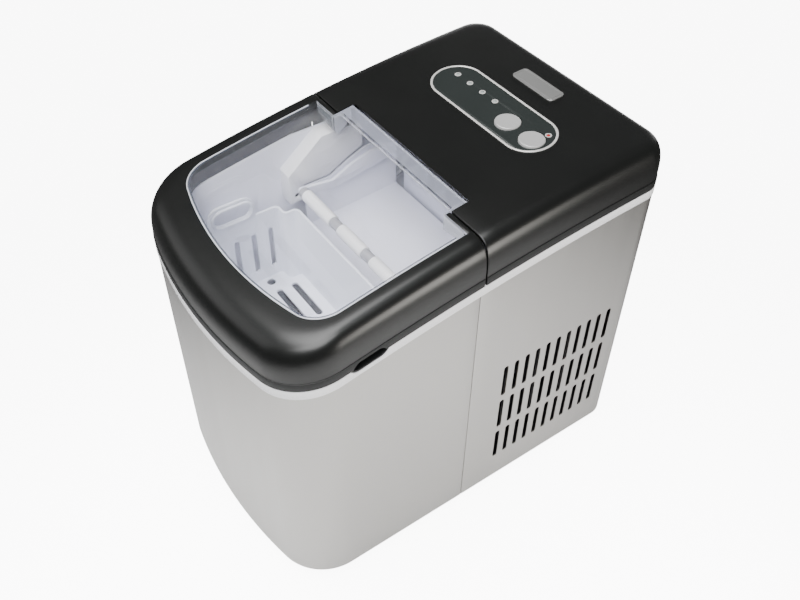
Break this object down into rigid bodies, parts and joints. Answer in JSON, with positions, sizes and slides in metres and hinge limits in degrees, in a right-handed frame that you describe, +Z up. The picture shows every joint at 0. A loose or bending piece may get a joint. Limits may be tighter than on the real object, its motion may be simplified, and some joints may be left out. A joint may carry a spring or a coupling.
{
  "type": "countertop ice maker",
  "caption": "Countertop ice maker with a bowed steel body, black top, hinged windowed lid, lift-out ice basket and rear control panel.",
  "frame": {"origin": "bottom centre of the bounding box, on the surface the feet stand on", "axes": "+X to the right seen from the front, -Y towards the front where the ice is taken out, +Z up"},
  "size_m": [0.241, 0.358, 0.3342],
  "materials": {
    "steel": "brushed, satin",
    "screw": "plain",
    "pin": "polished",
    "white_trim": "satin",
    "black_cover": "satin gloss",
    "black_plastic": "fine texture",
    "dark_plastic": "fine texture",
    "foot_rubber": "matte",
    "gland_rubber": "matte",
    "silver": "silver paint",
    "overlay": "satin",
    "badge": "silver paint",
    "button": "silver paint",
    "lens_grey": "frosted",
    "lens_red": "frosted",
    "lens_dark": "gloss",
    "board": "solder resist",
    "window": "clear plastic with a faint violet tint",
    "tub": "satin",
    "basket": "satin",
    "tray": "satin",
    "sensor_white": "satin",
    "foam": "cellular",
    "motor_grey": "satin",
    "evaporator": "nickel plate",
    "hose": "translucent, smooth",
    "black_metal": "gloss enamel",
    "fins": "plain",
    "copper": "plain copper",
    "brass": "plain"
  },
  "bodies": {
    "body": {"base_pan": "dark_plastic", "feet": "foot_rubber", "front_shell": "steel", "rear_shell": "steel", "back_panel": "black_plastic", "back_panel_screws": "screw", "base_screws": "screw", "cord_gland": "gland_rubber", "trim_ring": "white_trim", "rear_cover": "black_cover", "panel_bezel": "silver", "panel_overlay": "overlay", "badge_plate": "badge", "indicator_lenses": "lens_grey", "power_indicator": "lens_red", "control_board": "board", "tact_switches": "black_plastic", "hinge_bracket_left": "dark_plastic", "hinge_bracket_right": "dark_plastic", "inner_tub": "tub", "insulation_foam": "foam", "ice_sensor_left": "sensor_white", "ice_sensor_right": "sensor_white", "sensor_lenses": "lens_dark", "ice_chute": "tub", "tray_bearing": "sensor_white", "tray_motor": "motor_grey", "evaporator": "evaporator", "evaporator_cover": "tub", "water_pump": "dark_plastic", "pump_hose": "hose", "float_sensor": "sensor_white", "compressor": "black_metal", "compressor_grommets": "gland_rubber", "condenser": "fins", "fan_shroud": "black_plastic", "fan_motor": "motor_grey", "filter_drier": "copper", "refrigerant_pipes": "copper", "solenoid_valve": "brass", "main_board": "board", "wire_loom": "black_plastic", "drain_hose": "hose", "drain_spout": "sensor_white"},
    "lid": {"lid_frame": "black_cover", "lid_window": "window", "hinge_pin_left": "pin", "hinge_pin_right": "pin"},
    "basket": {"ice_basket": "basket"},
    "select_key": {"select_button": "button"},
    "power_key": {"power_button": "button"},
    "tray": {"water_tray": "tray", "tray_shaft": "pin"},
    "shovel": {"ice_shovel": "tub", "shovel_sleeves": "sensor_white"},
    "fan": {"fan_blade": "black_plastic"},
    "drain_plug": {"drain_cap": "black_plastic"}
  },
  "joints": [
    {"name": "lid_hinge", "type": "hinge", "parent": "body", "child": "lid", "pos_m": [0, 0.005, 0.3157], "axis": [-1, 0, 0], "range_deg": [0, 92]},
    {"name": "basket_lift", "type": "slide", "parent": "body", "child": "basket", "axis": [0, 0, 1], "range_m": [0, 0.03]},
    {"name": "select_press", "type": "slide", "parent": "body", "child": "select_key", "axis": [0, 0, -1], "range_m": [0, 0.0008], "stiffness_N_per_m": 800},
    {"name": "power_press", "type": "slide", "parent": "body", "child": "power_key", "axis": [0, 0, -1], "range_m": [0, 0.0008], "stiffness_N_per_m": 800},
    {"name": "tray_tilt", "type": "hinge", "parent": "body", "child": "tray", "pos_m": [0, 0.12, 0.23], "axis": [1, 0, 0], "range_deg": [0, 35]},
    {"name": "shovel_swing", "type": "hinge", "parent": "body", "child": "shovel", "pos_m": [0, 0.048, 0.262], "axis": [1, 0, 0], "range_deg": [0, 24]},
    {"name": "fan_spin", "type": "hinge", "parent": "body", "child": "fan", "pos_m": [0.074, 0.091, 0.103], "axis": [1, 0, 0], "continuous": true},
    {"name": "drain_cap_pull", "type": "slide", "parent": "body", "child": "drain_plug", "axis": [0, 1, 0], "range_m": [0, 0.012]}
  ],
  "couplings": [
    {"joint": "shovel_swing", "follows": "tray_tilt", "ratio": 0.68571}
  ]
}
